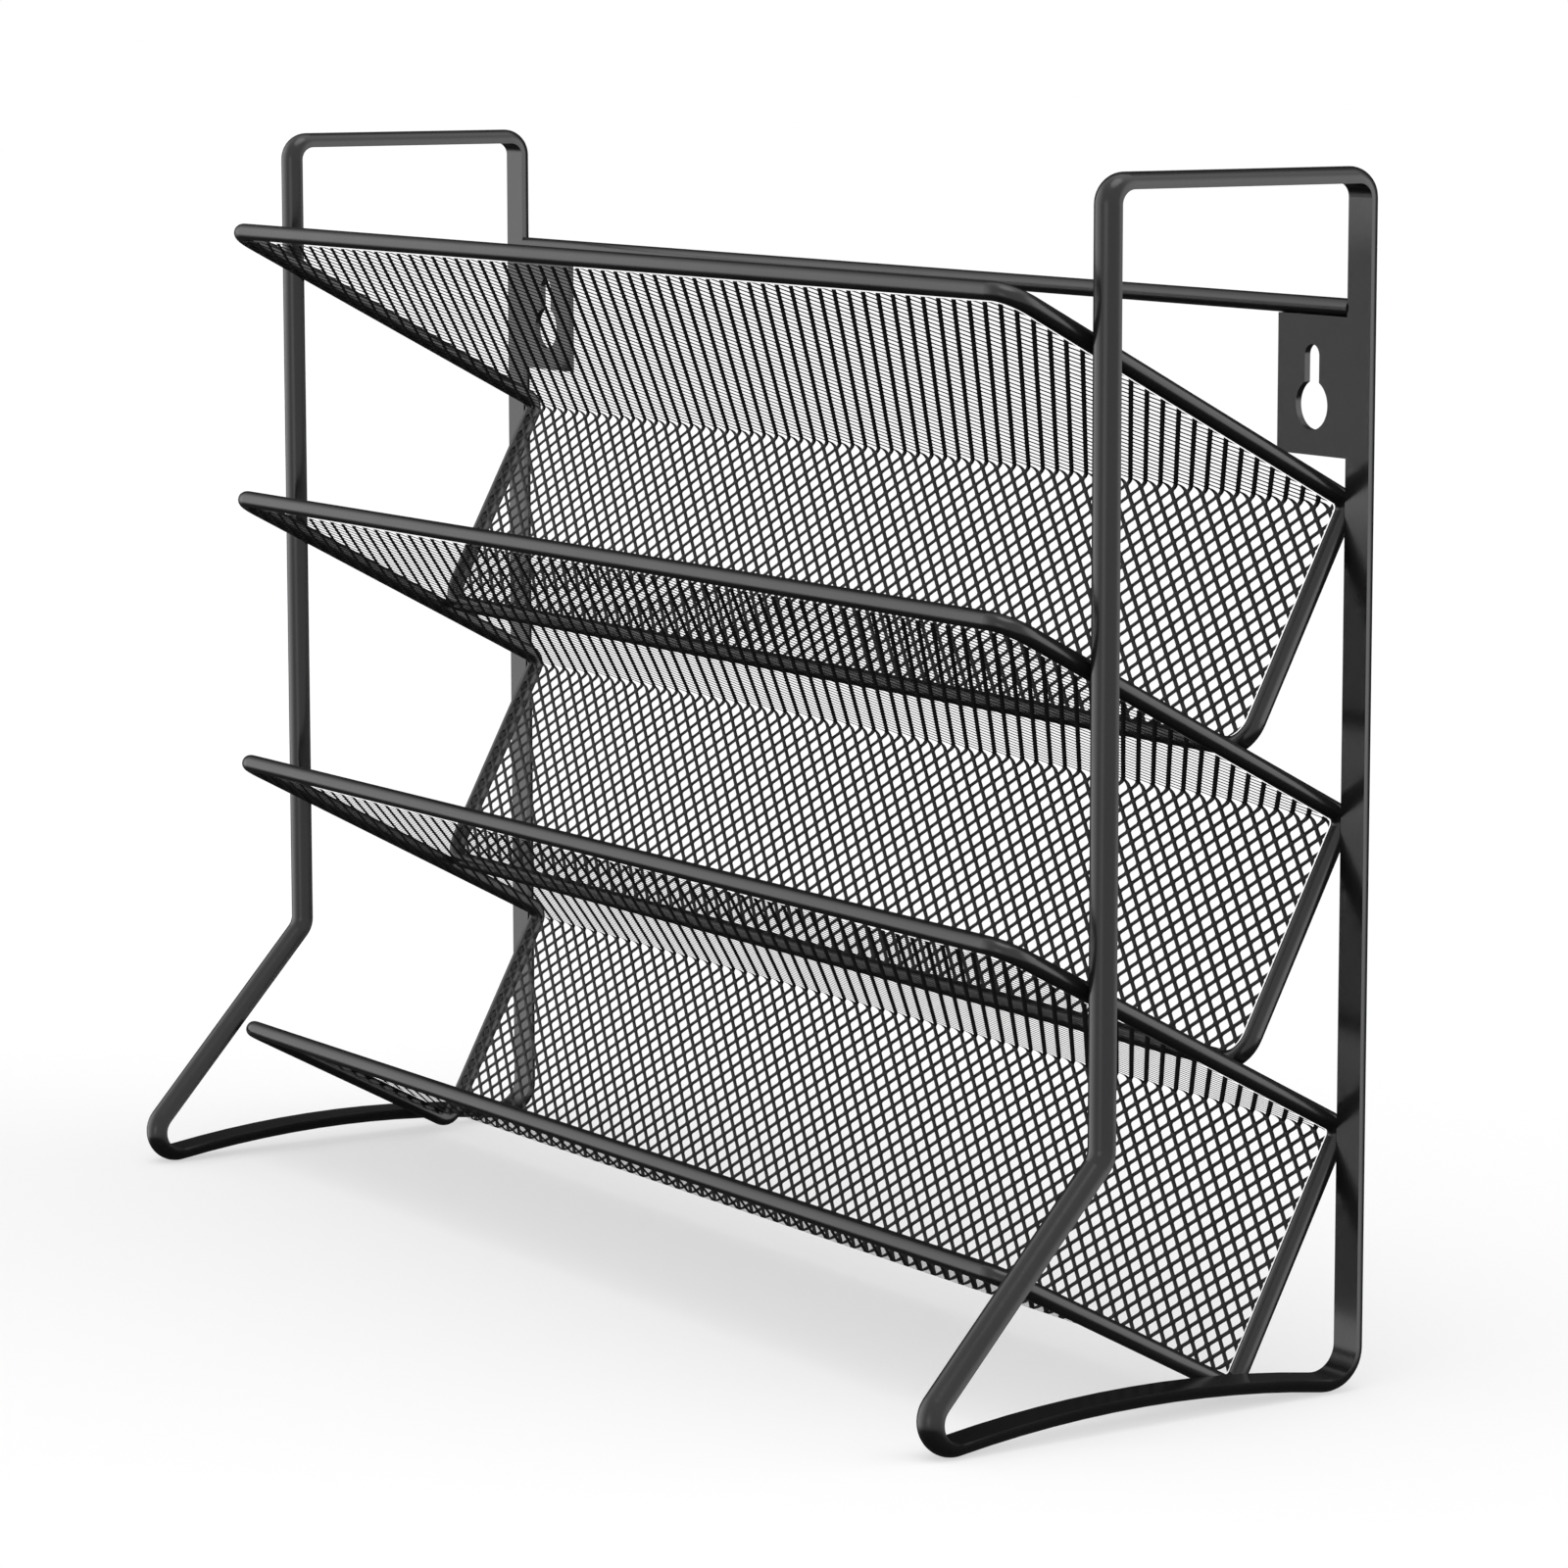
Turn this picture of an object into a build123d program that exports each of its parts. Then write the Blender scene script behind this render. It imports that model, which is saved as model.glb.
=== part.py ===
"""Four-tier wire-mesh rack: two bent side frames carry three folded wire rims with mesh sheets.

Frame: X across the rack, front faces -Y, Z up. Origin on the floor, under the middle of the
bounding box. Millimetres.
"""
import os
from math import asin, atan2, cos, hypot, radians, sin, sqrt

from build123d import *

# ---- side frames: half-oval bar, flat side toward the inside of the loop ----
overall_height = 270.0
overall_depth = 118.0
overall_width = 368.0
bar_width = 8.0
bar_thick = 3.6
loop_depth = 66.5  # clear distance between the two uprights
knee_height = 59.4
top_bend = 3.2  # bend radii are measured on the flat side of the bar
knee_bend = 7.0
front_foot_bend = 4.6
rear_foot_bend = 6.0
arch_rise = 3.8

# ---- wires ----
rim_wire = 4.2
back_rod_wire = 4.0
back_rod_height = 239.2
rim_corner_bend = 6.5  # bend radii are measured on the centre of the wire
rim_fold_bend = 3.2

# ---- tiers: a panel rising to the front, folded into a sheet that drops to the front ----
tier_pitch = 69.5
top_fold_height = 196.9
panel_angle = 28.0
panel_length = 103.1
bottom_sheet_length = 62.8
mesh_thick = 0.8

# ---- keyhole plates ----
plate_width = 24.0
plate_thick = 1.5
plate_base_height = 206.5
key_head_dia = 11.0
key_head_rise = 11.0  # above the lower edge of the plate
key_slot_width = 5.0
key_slot_rise = 21.8

# ---- derived ----
rear_flat_y = overall_depth / 2 - bar_thick
front_flat_y = rear_flat_y - loop_depth
top_flat_z = overall_height - bar_thick
frame_x = (overall_width - bar_width) / 2
frame_inner_x = frame_x - bar_width / 2
rim_x = frame_inner_x - rim_wire / 2
fold_setback = rim_fold_bend * (sqrt(2) - 1)
fold_y = overall_depth / 2 - rim_wire / 2 + fold_setback
slope = radians(panel_angle)
lip_length = panel_length - bottom_sheet_length * sin(slope) / cos(slope)
# the lower corners of a sheet nestle between the side wires of the panel below
corner_seat = sqrt((rim_corner_bend + rim_wire) ** 2 - rim_corner_bend ** 2) - rim_corner_bend
sheet_length = tier_pitch * cos(slope) - corner_seat
back_rod_y = overall_depth / 2 - back_rod_wire / 2
plate_height = back_rod_height - back_rod_wire / 2 - plate_base_height
plate_x = frame_inner_x - plate_width / 2


def point_on(centre, radius, angle):
    """Point of a circle in the (y, z) plane, angle from +Y."""
    return (centre[0] + radius * cos(angle), centre[1] + radius * sin(angle))


def side_frame(x, label):
    """Closed loop: two uprights, top bar, forward leg, arched foot bar."""
    front_foot = (-overall_depth / 2 + bar_thick + front_foot_bend, bar_thick + front_foot_bend)
    rear_foot = (rear_flat_y - rear_foot_bend, bar_thick + rear_foot_bend)
    # the arch is one circle, touched from above by both foot bends
    span = rear_foot[0] - front_foot[0]
    bend_shift = arch_rise * (rear_foot_bend - front_foot_bend) / span
    arch_y = front_foot[0] + span / 2 - bend_shift
    reach = arch_y - front_foot[0]
    arch_radius = (reach ** 2 / arch_rise + arch_rise) / 2 - front_foot_bend
    arch_centre = (arch_y, bar_thick + arch_rise - arch_radius)
    to_front = atan2(front_foot[1] - arch_centre[1], front_foot[0] - arch_centre[0])
    to_rear = atan2(rear_foot[1] - arch_centre[1], rear_foot[0] - arch_centre[0])
    arch_front = point_on(arch_centre, arch_radius, to_front)
    arch_rear = point_on(arch_centre, arch_radius, to_rear)
    # the leg runs from the knee and touches the front foot bend
    knee = (front_flat_y, knee_height)
    leg_y, leg_z = knee[0] - front_foot[0], knee[1] - front_foot[1]
    leg_angle = atan2(leg_z, leg_y) - asin(front_foot_bend / hypot(leg_y, leg_z))
    leg_end = point_on(front_foot, front_foot_bend, leg_angle + radians(90))
    front_mid = (leg_angle + radians(90) + to_front + radians(180)) / 2
    rear_mid = (to_rear - radians(180)) / 2
    with BuildPart() as frame:
        with BuildLine(Plane.YZ.offset(x)) as loop:
            FilletPolyline(
                leg_end, knee, (front_flat_y, top_flat_z), (rear_flat_y, top_flat_z),
                (rear_flat_y, rear_foot[1]), radius=[knee_bend, top_bend, top_bend],
            )
            ThreePointArc((rear_flat_y, rear_foot[1]), point_on(rear_foot, rear_foot_bend, rear_mid), arch_rear)
            ThreePointArc(arch_rear, (arch_y, bar_thick + arch_rise), arch_front)
            ThreePointArc(arch_front, point_on(front_foot, front_foot_bend, front_mid), leg_end)
        path = loop.wire()
        start = path.position_at(0)
        along = path.tangent_at(0)
        # seat the flat of the bar on the loop, its round side facing away from the loop's middle
        outward = Vector(1, 0, 0).cross(along)
        if outward.dot(start - Vector(x, 0, overall_height / 2)) < 0:
            outward = outward * -1
        section_plane = Plane(origin=start, x_dir=outward, z_dir=along)
        with BuildSketch(section_plane):
            Ellipse(bar_thick, bar_width / 2)
            Rectangle(bar_thick * 2, bar_width * 2, align=(Align.MAX, Align.CENTER), mode=Mode.SUBTRACT)
        sweep(path=path)
    frame.part.label = label
    return frame.part


def tier_plane(fold_height):
    """Plane of a folded tier seen from the side: local x along the panel, local y along the sheet."""
    return Plane(
        origin=(0, fold_y, fold_height),
        x_dir=(0, -cos(slope), sin(slope)),
        z_dir=(1, 0, 0),
    )


def tier_rim(fold_height, side_points, bends, label):
    """Closed wire rim; side_points run down one side, from the front corner to the last corner."""
    plane = tier_plane(fold_height)
    right = [plane.from_local_coords((u, v, rim_x)) for u, v in side_points]
    left = [plane.from_local_coords((u, v, -rim_x)) for u, v in side_points]
    with BuildPart() as rim:
        with BuildLine() as outline:
            FilletPolyline(*right, *reversed(left), radius=bends + bends[::-1], close=True)
        path = outline.wire()
        with BuildSketch(Plane(origin=path.position_at(0), z_dir=path.tangent_at(0))):
            Circle(rim_wire / 2)
        sweep(path=path)
    rim.part.label = label
    return rim.part


def tier_mesh(fold_height, near, far, label):
    """Folded mesh sheet between two edge-on lines: near lies against the wires, far is its other side."""
    bends = [rim_fold_bend - mesh_near] * (len(near) - 2)
    tight_bends = [rim_fold_bend - mesh_far] * (len(far) - 2)
    with BuildPart() as mesh:
        with BuildSketch(tier_plane(fold_height)):
            with BuildLine():
                FilletPolyline(*near, radius=bends)
                Line(near[-1], far[-1])
                FilletPolyline(*reversed(far), radius=tight_bends)
                Line(far[0], near[0])
            make_face()
        extrude(amount=rim_x, both=True)
        corners = mesh.edges().filter_by(lambda edge: abs(edge.length - mesh_thick) < 0.01)
        fillet(corners, radius=rim_corner_bend)
    mesh.part.label = label
    return mesh.part


def keyhole_plate(x, label):
    """Wall plate beside a rear upright, flush with its flat side; the narrow slot points up."""
    with BuildPart() as plate:
        with BuildSketch(Plane.XZ.offset(-rear_flat_y)):
            with Locations((x, plate_base_height + plate_height / 2)):
                Rectangle(plate_width, plate_height)
            with Locations((x, plate_base_height + key_head_rise)):
                Circle(key_head_dia / 2, mode=Mode.SUBTRACT)
            with Locations((x, plate_base_height + key_slot_rise)):
                Circle(key_slot_width / 2, mode=Mode.SUBTRACT)
            slot_length = key_slot_rise - key_head_rise
            with Locations((x, plate_base_height + key_head_rise + slot_length / 2)):
                Rectangle(key_slot_width, slot_length, mode=Mode.SUBTRACT)
        extrude(amount=-plate_thick)
    plate.part.label = label
    return plate.part


# the mesh lies on the inner side of each fold, against the wires
mesh_near = rim_wire / 2
mesh_far = mesh_near + mesh_thick

pieces = [
    side_frame(-frame_x, "left_side_frame"),
    side_frame(frame_x, "right_side_frame"),
    keyhole_plate(-plate_x, "left_keyhole_plate"),
    keyhole_plate(plate_x, "right_keyhole_plate"),
]

with BuildPart() as back_top_rod:
    with BuildSketch(Plane.YZ.offset(-frame_inner_x)):
        with Locations((back_rod_y, back_rod_height)):
            Circle(back_rod_wire / 2)
    extrude(amount=2 * frame_inner_x)
back_top_rod.part.label = "back_top_rod"
pieces.append(back_top_rod.part)

plain_side = [(panel_length, 0), (0, 0), (0, sheet_length)]
plain_bends = [rim_corner_bend, rim_fold_bend, rim_corner_bend]
plain_near = [(panel_length, mesh_near), (mesh_near, mesh_near), (mesh_near, sheet_length)]
plain_far = [(panel_length, mesh_far), (mesh_far, mesh_far), (mesh_far, sheet_length)]
for tier, name in enumerate(("top_tier", "middle_tier")):
    height = top_fold_height - tier * tier_pitch
    pieces.append(tier_rim(height, plain_side, plain_bends, name + "_rim"))
    pieces.append(tier_mesh(height, plain_near, plain_far, name + "_mesh"))

# the bottom tier folds once more and comes forward again as a lip
lip_near = bottom_sheet_length - mesh_near
lip_far = bottom_sheet_length - mesh_far
bottom_side = [(panel_length, 0), (0, 0), (0, bottom_sheet_length), (lip_length, bottom_sheet_length)]
bottom_bends = [rim_corner_bend, rim_fold_bend, rim_fold_bend, rim_corner_bend]
bottom_near = [(panel_length, mesh_near), (mesh_near, mesh_near), (mesh_near, lip_near), (lip_length, lip_near)]
bottom_far = [(panel_length, mesh_far), (mesh_far, mesh_far), (mesh_far, lip_far), (lip_length, lip_far)]
bottom_height = top_fold_height - 2 * tier_pitch
pieces.append(tier_rim(bottom_height, bottom_side, bottom_bends, "bottom_tier_rim"))
pieces.append(tier_mesh(bottom_height, bottom_near, bottom_far, "bottom_tier_mesh"))

os.makedirs("parts", exist_ok=True)
for piece in pieces:
    export_step(piece, f"parts/{piece.label}.step")
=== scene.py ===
"""Looks for the wire-mesh rack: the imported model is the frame, and the three mesh sheets are cut here."""
from math import ceil, cos, floor, hypot, pi, radians, sin, tau

import bmesh
import bpy
from mathutils import Matrix, Vector


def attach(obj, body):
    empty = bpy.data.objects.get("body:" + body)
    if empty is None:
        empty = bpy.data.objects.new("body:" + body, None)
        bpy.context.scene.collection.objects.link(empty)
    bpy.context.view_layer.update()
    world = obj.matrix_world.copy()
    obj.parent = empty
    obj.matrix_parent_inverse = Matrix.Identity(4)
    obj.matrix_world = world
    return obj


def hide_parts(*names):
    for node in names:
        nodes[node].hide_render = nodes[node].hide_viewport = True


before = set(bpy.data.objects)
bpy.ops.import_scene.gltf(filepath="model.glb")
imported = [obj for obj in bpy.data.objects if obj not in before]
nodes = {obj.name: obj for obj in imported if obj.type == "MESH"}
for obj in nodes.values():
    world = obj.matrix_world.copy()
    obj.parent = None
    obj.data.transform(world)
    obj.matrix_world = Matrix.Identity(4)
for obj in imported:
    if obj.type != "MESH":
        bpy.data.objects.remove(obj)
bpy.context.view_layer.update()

MM = 0.001

# ---- camera at the photograph's angle ----
CAMERA_AT = (1122.62 * MM, -707.78 * MM, 309.93 * MM)
CAMERA_TURN = radians(56.8885)  # from looking along +Y towards looking along -X
CAMERA_PITCH = radians(8.2178)  # down
CAMERA_ROLL = radians(-0.0693)
CAMERA_LENS = 127.99
CAMERA_SENSOR = 36

ahead = Vector((
    -sin(CAMERA_TURN) * cos(CAMERA_PITCH),
    cos(CAMERA_TURN) * cos(CAMERA_PITCH),
    -sin(CAMERA_PITCH),
))
level = Vector((cos(CAMERA_TURN), sin(CAMERA_TURN), 0))
upward = level.cross(ahead)
right = level * cos(CAMERA_ROLL) + upward * sin(CAMERA_ROLL)
up = upward * cos(CAMERA_ROLL) - level * sin(CAMERA_ROLL)
camera_data = bpy.data.cameras.new("camera")
camera_data.lens = CAMERA_LENS
camera_data.sensor_width = CAMERA_SENSOR
camera_data.clip_start = 0.05
camera_data.clip_end = 50
camera = bpy.data.objects.new("camera", camera_data)
camera_axes = Matrix((right, up, -ahead)).transposed().to_4x4()
camera.matrix_world = Matrix.Translation(CAMERA_AT) @ camera_axes
bpy.context.scene.collection.objects.link(camera)
bpy.context.scene.camera = camera
bpy.context.scene.view_settings.view_transform = "Standard"
bpy.context.scene.view_settings.look = "None"


# ---- materials ----
COAT_GREY = 0.010
GLOSSY_ROUGHNESS = (0.17, 0.25)  # side frames and plates
WIRE_ROUGHNESS = (0.20, 0.28)
MESH_ROUGHNESS = (0.50, 0.60)
DUST_SCALE = 1400  # noise scales are cycles per metre
GLOSS_SCALE = 55
GRAIN_SCALE = 3800
PEEL_SCALE = 750
GRAIN_DEPTH = 0.05 * MM
PEEL_DEPTH = 0.1 * MM


def socket(node, name, value):
    node.inputs[name].default_value = value


def powder_coat(name, grey, roughness, peel, grain, specular=0.5):
    """Black powder coat: orange-peel and fine grain bump, uneven gloss, faint lighter dusting."""
    material = bpy.data.materials.new(name)
    material.use_nodes = True
    tree = material.node_tree
    shader = tree.nodes["Principled BSDF"]
    socket(shader, "IOR", 1.5)
    socket(shader, "Specular IOR Level", specular)
    where = tree.nodes.new("ShaderNodeTexCoord").outputs["Object"]

    def noise(scale, detail, roughness=0.5):
        node = tree.nodes.new("ShaderNodeTexNoise")
        socket(node, "Scale", scale)
        socket(node, "Detail", detail)
        socket(node, "Roughness", roughness)
        tree.links.new(where, node.inputs["Vector"])
        return node.outputs["Fac"]

    def spread(value, low, high, to_low, to_high):
        node = tree.nodes.new("ShaderNodeMapRange")
        socket(node, "From Min", low)
        socket(node, "From Max", high)
        socket(node, "To Min", to_low)
        socket(node, "To Max", to_high)
        tree.links.new(value, node.inputs["Value"])
        return node.outputs["Result"]

    def bump(height, strength, distance, normal=None):
        node = tree.nodes.new("ShaderNodeBump")
        socket(node, "Strength", strength)
        socket(node, "Distance", distance)
        tree.links.new(height, node.inputs["Height"])
        if normal is not None:
            tree.links.new(normal, node.inputs["Normal"])
        return node.outputs["Normal"]

    ramp = tree.nodes.new("ShaderNodeValToRGB")
    ramp.color_ramp.elements[0].position = 0.3
    ramp.color_ramp.elements[0].color = (grey * 0.8, grey * 0.8, grey * 0.82, 1)
    ramp.color_ramp.elements[1].position = 0.75
    ramp.color_ramp.elements[1].color = (grey * 1.25, grey * 1.25, grey * 1.25, 1)
    tree.links.new(noise(DUST_SCALE, 4, 0.65), ramp.inputs["Fac"])
    tree.links.new(ramp.outputs["Color"], shader.inputs["Base Color"])
    gloss = spread(noise(GLOSS_SCALE, 5, 0.6), 0.3, 0.7, *roughness)
    tree.links.new(gloss, shader.inputs["Roughness"])
    fine = bump(noise(GRAIN_SCALE, 2), grain, GRAIN_DEPTH)
    tree.links.new(bump(noise(PEEL_SCALE, 2), peel, PEEL_DEPTH, fine), shader.inputs["Normal"])
    return material


frame_coat = powder_coat("frame_powder_coat", COAT_GREY, GLOSSY_ROUGHNESS, 0.10, 0.12)
wire_coat = powder_coat("wire_powder_coat", COAT_GREY, WIRE_ROUGHNESS, 0.10, 0.12)
plate_coat = powder_coat("plate_powder_coat", COAT_GREY, GLOSSY_ROUGHNESS, 0.10, 0.12)
mesh_coat = powder_coat("mesh_powder_coat", COAT_GREY, MESH_ROUGHNESS, 0.08, 0.10, specular=0.25)

for name, coat in (
    ("left_side_frame", frame_coat), ("right_side_frame", frame_coat),
    ("left_keyhole_plate", plate_coat), ("right_keyhole_plate", plate_coat),
    ("back_top_rod", wire_coat), ("top_tier_rim", wire_coat),
    ("middle_tier_rim", wire_coat), ("bottom_tier_rim", wire_coat),
):
    for material_slot in nodes[name].material_slots:
        material_slot.material = coat

# ---- expanded mesh, in millimetres ----
SLOPE = radians(28)
FOLD_Y = 58.226
TOP_FOLD_Z = 196.9
TIER_PITCH = 69.5
PANEL_LENGTH = 103.1
SHEET_LENGTH = 59.37
BOTTOM_SHEET_LENGTH = 62.8
LIP_LENGTH = 69.71
RIM_X = 173.9
MESH_SINK = 2.12  # middle of the mesh below the middle of the wires
MESH_THICK = 0.03  # thinner than real mesh, so that the lip stays see-through
MESH_BEND = 1.25
EDGE_GAP = 1.1  # the mesh stops this far short of the middle of the wires
CORNER = 5.4
HALF_X = 2.8575  # half diagonals of one diamond
HALF_Q = 2.4125
STRAND = 1.11  # width, tuned to the photograph's grey and not measured
CLIP = 0.34  # how far along its edges the coat fills the left and right corners of a diamond
CORNER_STEPS = 8
BEND_STEPS = 6
ON_CUT = 1e-5  # vertices this close to a cut count as lying on it


def profile(corners, bend):
    """Path through corners with round right-angle bends.

    Returns its length, a function from distance to (point, normal), and the start and end of each bend.
    """
    pieces = []
    here = Vector(corners[0])
    for before, corner, after in zip(corners, corners[1:], corners[2:]):
        corner = Vector(corner)
        way_in = (corner - Vector(before)).normalized()
        way_out = (Vector(after) - corner).normalized()
        start = corner - way_in * bend
        pieces.append(("run", here, way_in, (start - here).length))
        pieces.append(("bend", start, way_in, way_out, bend * pi / 2))
        here = corner + way_out * bend
    last = Vector(corners[-1])
    pieces.append(("run", here, (last - here).normalized(), (last - here).length))
    length = sum(piece[-1] for piece in pieces)

    def at(distance):
        for index, piece in enumerate(pieces):
            if distance <= piece[-1] or index == len(pieces) - 1:
                break
            distance -= piece[-1]
        if piece[0] == "run":
            point, way = piece[1] + piece[2] * distance, piece[2]
        else:
            turn = distance / bend
            point = piece[1] + piece[2] * bend * sin(turn) + piece[3] * bend * (1 - cos(turn))
            way = piece[2] * cos(turn) + piece[3] * sin(turn)
        return point, Vector((-way.y, way.x))

    bends, gone = [], 0
    for piece in pieces:
        if piece[0] == "bend":
            bends.append((gone, gone + piece[-1]))
        gone += piece[-1]
    return length, at, bends


def diamond_holes(half_width, length, anchor, parity):
    """Flat expanded mesh: vertices (x, q) and faces; one row of crossings lies at q = anchor."""
    size = hypot(HALF_X, HALF_Q)
    shrink = 1 - STRAND / 2 * size / (HALF_X * HALF_Q)
    a, b = HALF_X * shrink, HALF_Q * shrink
    fa, fb = CLIP * HALF_X / size, CLIP * HALF_Q / size
    outline = [(a - fa, fb), (0, b), (-a + fa, fb), (-a + fa, -fb), (0, -b), (a - fa, -fb)]
    rows = range(floor(-anchor / HALF_Q) - 2, ceil((length - anchor) / HALF_Q) + 3)
    reach = ceil(half_width / HALF_X) + 2
    points, faces, first = [], [], {}
    for row in rows:
        for column in range(-reach, reach + 1):
            if (column + row + parity) % 2 == 1:  # a hole; the crossings take the other places
                first[column, row] = len(points)
                centre_x, centre_q = column * HALF_X, anchor + row * HALF_Q
                points += [(centre_x + x, centre_q + q) for x, q in outline]
    for row in rows:
        for column in range(-reach, reach + 1):
            if (column, row) in first:
                here = first[column, row]
                for step, mine, theirs in ((1, (0, 1), (3, 4)), (-1, (1, 2), (4, 5))):
                    other = first.get((column + step, row + 1))
                    if other is not None:
                        faces.append((
                            here + mine[0], other + theirs[1], other + theirs[0], here + mine[1],
                        ))
            else:
                around = [
                    first.get((column + 1, row)), first.get((column, row + 1)),
                    first.get((column - 1, row)), first.get((column, row - 1)),
                ]
                if None not in around:
                    e, n, w, s = around
                    faces.append((e + 3, e + 2, n + 4, w + 0, w + 5, s + 1))
    return points, faces


def drop_loose(cut):
    loose = [vert for vert in cut.verts if not vert.link_faces]
    bmesh.ops.delete(cut, geom=loose, context="VERTS")


def bisect(cut, place, way, clear=False):
    bmesh.ops.bisect_plane(
        cut, geom=cut.verts[:] + cut.edges[:] + cut.faces[:], dist=ON_CUT,
        plane_co=(*place, 0), plane_no=(*way, 0), clear_outer=clear,
    )


def trimmed(points, faces, half_width, length, bends):
    """Cut to a rectangle with round corners, and cut across each bend so that it can curve."""
    cut = bmesh.new()
    corners = [cut.verts.new((x, q, 0)) for x, q in points]
    for face in faces:
        cut.faces.new([corners[index] for index in face])
    drop_loose(cut)
    low, high = EDGE_GAP, length - EDGE_GAP
    side = half_width - EDGE_GAP
    planes = [((0, low), (0, -1)), ((0, high), (0, 1)), ((side, 0), (1, 0)), ((-side, 0), (-1, 0))]
    for sx in (-1, 1):
        for centre_q, sq in ((low + CORNER, -1), (high - CORNER, 1)):
            for step in range(1, CORNER_STEPS):
                turn = step * pi / (2 * CORNER_STEPS)
                way = (sx * cos(turn), sq * sin(turn))
                centre_x = sx * (side - CORNER)
                planes.append(((centre_x + way[0] * CORNER, centre_q + way[1] * CORNER), way))
    for place, way in planes:
        bisect(cut, place, way, clear=True)
    for start, end in bends:
        for step in range(BEND_STEPS + 1):
            bisect(cut, (0, start + (end - start) * step / BEND_STEPS), (0, 1))
    drop_loose(cut)
    return cut


def expanded_mesh(name, fold_z, corners, anchor_v, parity, cad_node):
    """One folded mesh sheet, built flat, trimmed, folded along its profile and given thickness."""
    length, at, bends = profile(corners, MESH_BEND)
    straight = MESH_SINK + MESH_BEND
    anchor = (corners[0][0] - straight) + MESH_BEND * pi / 2 + (anchor_v - straight)
    points, faces = diamond_holes(RIM_X, length, anchor, parity)
    flat = trimmed(points, faces, RIM_X, length, bends)
    flat.verts.index_update()
    along = Vector((0, -cos(SLOPE), sin(SLOPE)))
    down = Vector((0, -sin(SLOPE), -cos(SLOPE)))
    origin = Vector((0, FOLD_Y, fold_z))

    def place(vert, lift):
        (u, v), normal = at(vert.co.y)
        u, v = u + normal.x * lift, v + normal.y * lift
        return (origin + Vector((vert.co.x, 0, 0)) + along * u + down * v) * MM

    flat_verts = list(flat.verts)
    count = len(flat_verts)
    coords = [place(vert, lift) for lift in (MESH_THICK / 2, -MESH_THICK / 2) for vert in flat_verts]
    polygons = []
    for face in flat.faces:
        ring = [vert.index for vert in face.verts]
        polygons.append(ring)
        polygons.append([index + count for index in reversed(ring)])
    for edge in flat.edges:
        if len(edge.link_loops) == 1:
            loop = edge.link_loops[0]
            a, b = loop.vert.index, loop.link_loop_next.vert.index
            polygons.append([b, a, a + count, b + count])
    flat.free()
    data = bpy.data.meshes.new(name)
    data.from_pydata(coords, [], polygons)
    data.validate()
    made = bmesh.new()
    made.from_mesh(data)
    bmesh.ops.recalc_face_normals(made, faces=made.faces[:])
    made.to_mesh(data)
    made.free()
    data.shade_smooth()
    data.materials.append(mesh_coat)
    piece = bpy.data.objects.new(name, data)
    bpy.context.scene.collection.objects.link(piece)
    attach(piece, "root")
    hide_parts(cad_node)


plain = [(PANEL_LENGTH, MESH_SINK), (MESH_SINK, MESH_SINK), (MESH_SINK, SHEET_LENGTH)]
lip_v = BOTTOM_SHEET_LENGTH - MESH_SINK
lipped = [(PANEL_LENGTH, MESH_SINK), (MESH_SINK, MESH_SINK), (MESH_SINK, lip_v), (LIP_LENGTH, lip_v)]
# tier, folds below the top one, profile, place of a row of crossings down the sheet, parity
for tier, below, corners, anchor_v, parity in (
    ("top", 0, plain, 27.53, 0), ("middle", 1, plain, 25.93, 0), ("bottom", 2, lipped, 26.9, 1),
):
    expanded_mesh(
        f"{tier}_tier_expanded_mesh", TOP_FOLD_Z - below * TIER_PITCH, corners, anchor_v, parity,
        f"{tier}_tier_mesh",
    )

# ---- studio ----
FLOOR_RINGS = (0.4, 0.9, 2.0, 4.0, 9.0)  # radii in metres
FLOOR_SIDES = 64
FLOOR_GREY = 0.36
FLOOR_GLOW = 0.56  # keeps the shadow as pale as in the photograph
FLOOR_ROUGHNESS = 0.8

floor_mesh = bmesh.new()
turns = [tau * step / FLOOR_SIDES for step in range(FLOOR_SIDES)]
rings = [
    [floor_mesh.verts.new((radius * cos(turn), radius * sin(turn), 0)) for turn in turns]
    for radius in FLOOR_RINGS
]
floor_mesh.faces.new(rings[0])
for inner, outer in zip(rings, rings[1:]):
    for step in range(FLOOR_SIDES):
        after = (step + 1) % FLOOR_SIDES
        floor_mesh.faces.new((inner[step], outer[step], outer[after], inner[after]))
floor_data = bpy.data.meshes.new("studio_floor")
floor_mesh.to_mesh(floor_data)
floor_mesh.free()
studio_floor = bpy.data.objects.new("studio_floor", floor_data)
bpy.context.scene.collection.objects.link(studio_floor)
floor_material = bpy.data.materials.new("studio_floor")
floor_material.use_nodes = True
floor_shader = floor_material.node_tree.nodes["Principled BSDF"]
socket(floor_shader, "Base Color", (FLOOR_GREY, FLOOR_GREY, FLOOR_GREY, 1))
socket(floor_shader, "Emission Color", (1, 1, 1, 1))
socket(floor_shader, "Emission Strength", FLOOR_GLOW)
socket(floor_shader, "Roughness", FLOOR_ROUGHNESS)
socket(floor_shader, "Specular IOR Level", 0.0)
floor_data.materials.append(floor_material)
studio_floor.visible_glossy = False
studio_floor.visible_diffuse = False

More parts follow.
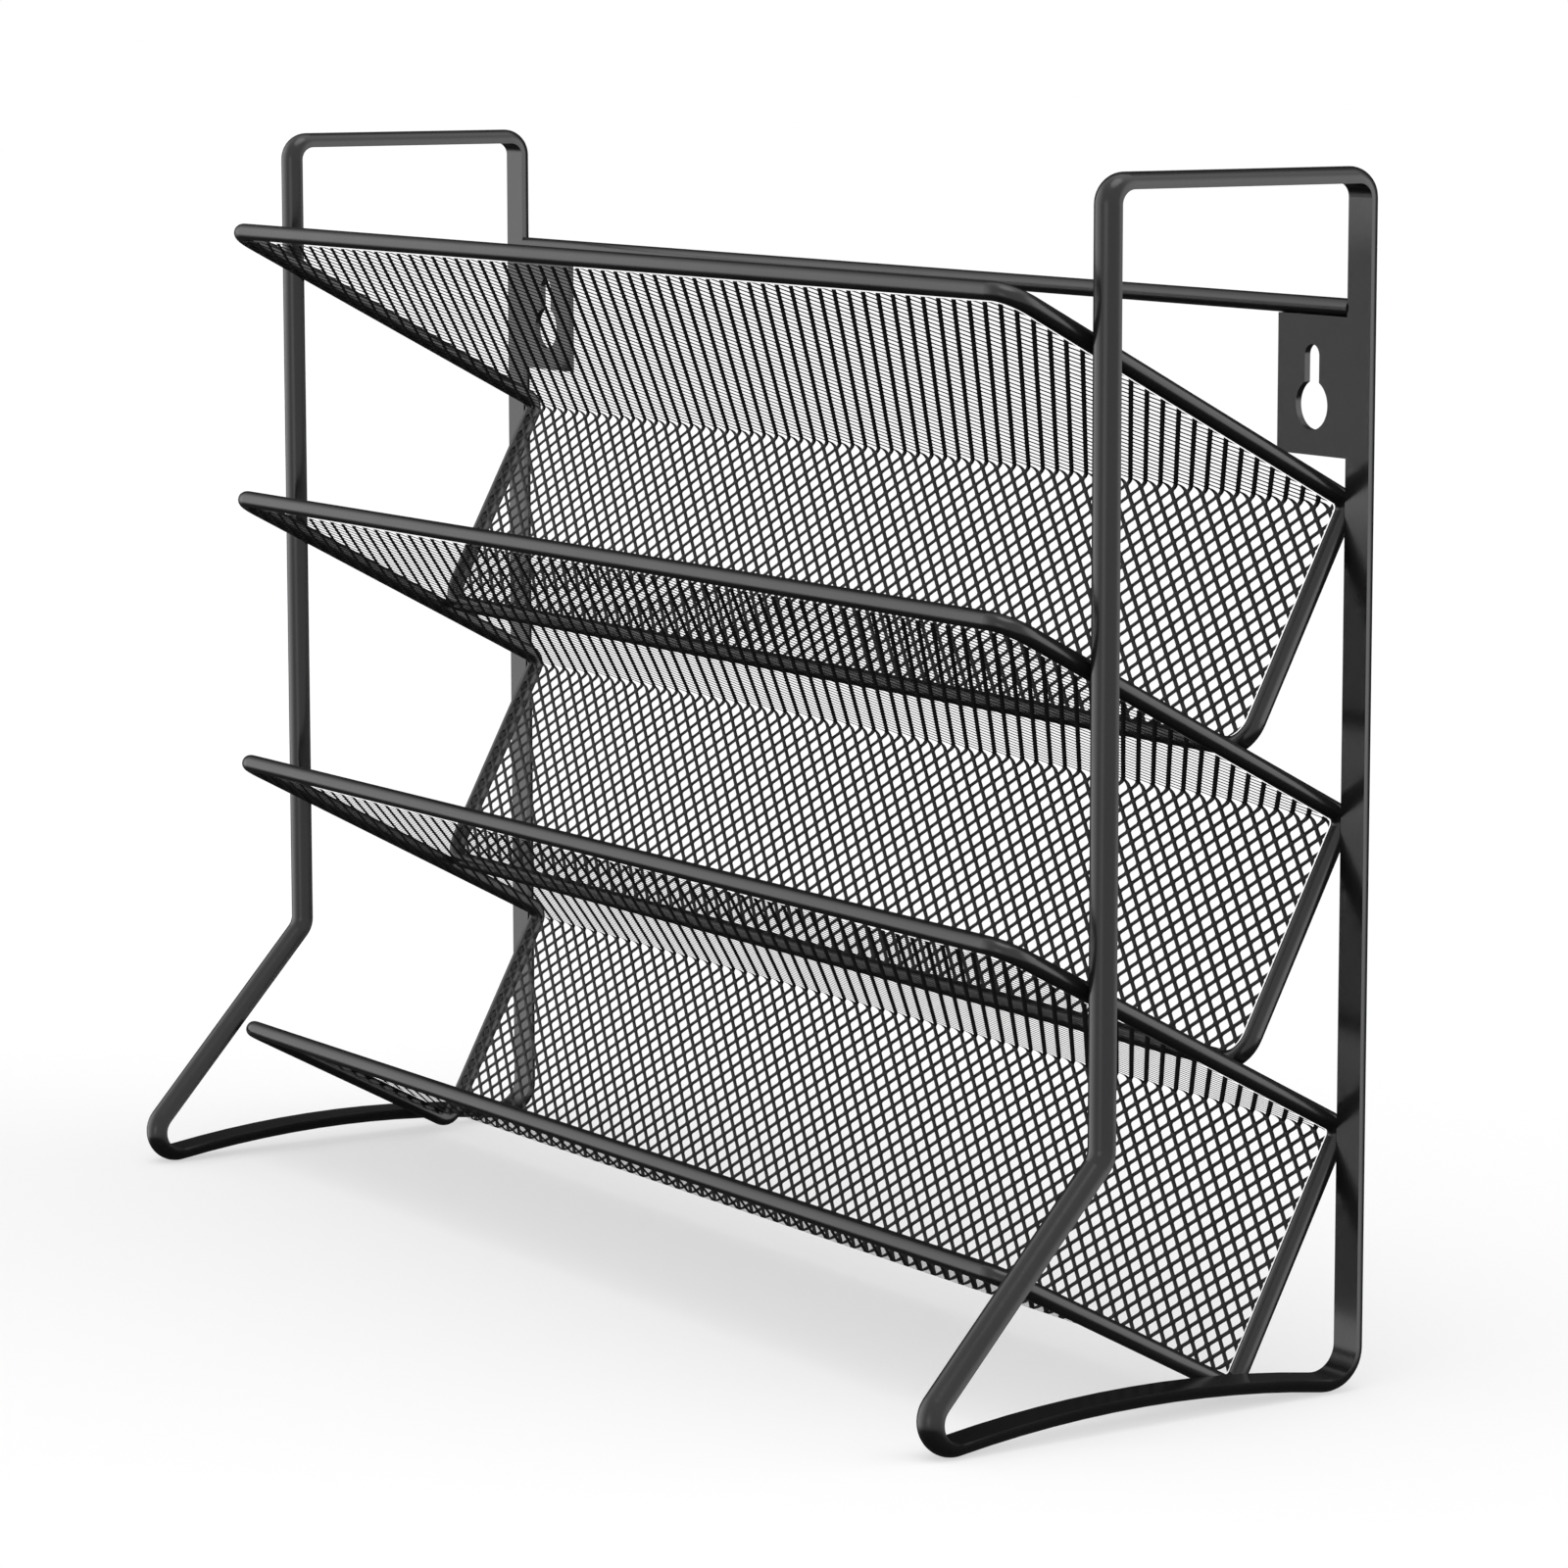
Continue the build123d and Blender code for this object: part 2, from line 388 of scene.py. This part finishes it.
# Soft light all round, with brighter panels, fading to a dark side behind the rack's left
# and below the horizon.
# Panels: azimuth, elevation, outer angle, inner angle (degrees), strength.
LIGHT_PANELS = (
    (42, 12, 46, 18, 1.55),  # right, behind the rack
    (212, 4, 38, 6, 0.85),  # left front
    (277, 0, 16, 4, 0.9),  # front
    (90, 80, 40, 10, 0.6),  # overhead
)
DARK_PANEL = (133, 0, 65, 40, 1.0)
AMBIENT = 0.85
LEAST_LIGHT = 0.04
FADE_BELOW = (-0.46, -0.24)  # sine of the elevation where the light goes, and where it is full
SUN_STRENGTH = 0.7
SUN_ANGLE = radians(40)
SUN_WAY = (-0.1, 0.25, -1)

world = bpy.data.worlds.new("studio")
bpy.context.scene.world = world
world.use_nodes = True
tree = world.node_tree
way = tree.nodes.new("ShaderNodeTexCoord").outputs["Generated"]


def toward(azimuth, elevation):
    """Unit vector; azimuth from +X towards +Y, in degrees."""
    level = cos(radians(elevation))
    turn = radians(azimuth)
    return (level * cos(turn), level * sin(turn), sin(radians(elevation)))


def world_math(operation, a, b):
    node = tree.nodes.new("ShaderNodeMath")
    node.operation = operation
    for place, value in enumerate((a, b)):
        if isinstance(value, (int, float)):
            node.inputs[place].default_value = value
        else:
            tree.links.new(value, node.inputs[place])
    return node.outputs["Value"]


def world_ramp(value, low, high, top=1.0):
    node = tree.nodes.new("ShaderNodeMapRange")
    node.interpolation_type = "SMOOTHSTEP"
    socket(node, "From Min", low)
    socket(node, "From Max", high)
    socket(node, "To Max", top)
    tree.links.new(value, node.inputs["Value"])
    return node.outputs["Result"]


def lobe(azimuth, elevation, outer, inner, strength):
    """Soft panel of light: full strength inside the inner angle, none beyond the outer one."""
    node = tree.nodes.new("ShaderNodeVectorMath")
    node.operation = "DOT_PRODUCT"
    tree.links.new(way, node.inputs[0])
    node.inputs[1].default_value = toward(azimuth, elevation)
    low, high = cos(radians(outer)), cos(radians(inner))
    return world_ramp(node.outputs["Value"], low, high, strength)


height = tree.nodes.new("ShaderNodeSeparateXYZ")
tree.links.new(way, height.inputs["Vector"])
light = AMBIENT
for panel in LIGHT_PANELS:
    light = world_math("ADD", light, lobe(*panel))
shade = world_math("SUBTRACT", 1.0, lobe(*DARK_PANEL))
lit = world_math("MULTIPLY", shade, world_ramp(height.outputs["Z"], *FADE_BELOW))
strength = world_math("ADD", world_math("MULTIPLY", lit, light), LEAST_LIGHT)
background = tree.nodes["Background"]
socket(background, "Color", (1, 1, 1, 1))
tree.links.new(strength, background.inputs["Strength"])
seen = tree.nodes.new("ShaderNodeBackground")
socket(seen, "Color", (1, 1, 1, 1))
paths = tree.nodes.new("ShaderNodeLightPath")
mix = tree.nodes.new("ShaderNodeMixShader")
tree.links.new(paths.outputs["Is Camera Ray"], mix.inputs["Fac"])
tree.links.new(background.outputs["Background"], mix.inputs[1])
tree.links.new(seen.outputs["Background"], mix.inputs[2])
tree.links.new(mix.outputs["Shader"], tree.nodes["World Output"].inputs["Surface"])

sun_data = bpy.data.lights.new("overhead_softbox", "SUN")
sun_data.energy = SUN_STRENGTH
sun_data.angle = SUN_ANGLE
sun = bpy.data.objects.new("overhead_softbox", sun_data)
sun.rotation_euler = Vector(SUN_WAY).to_track_quat("-Z", "Y").to_euler()
bpy.context.scene.collection.objects.link(sun)
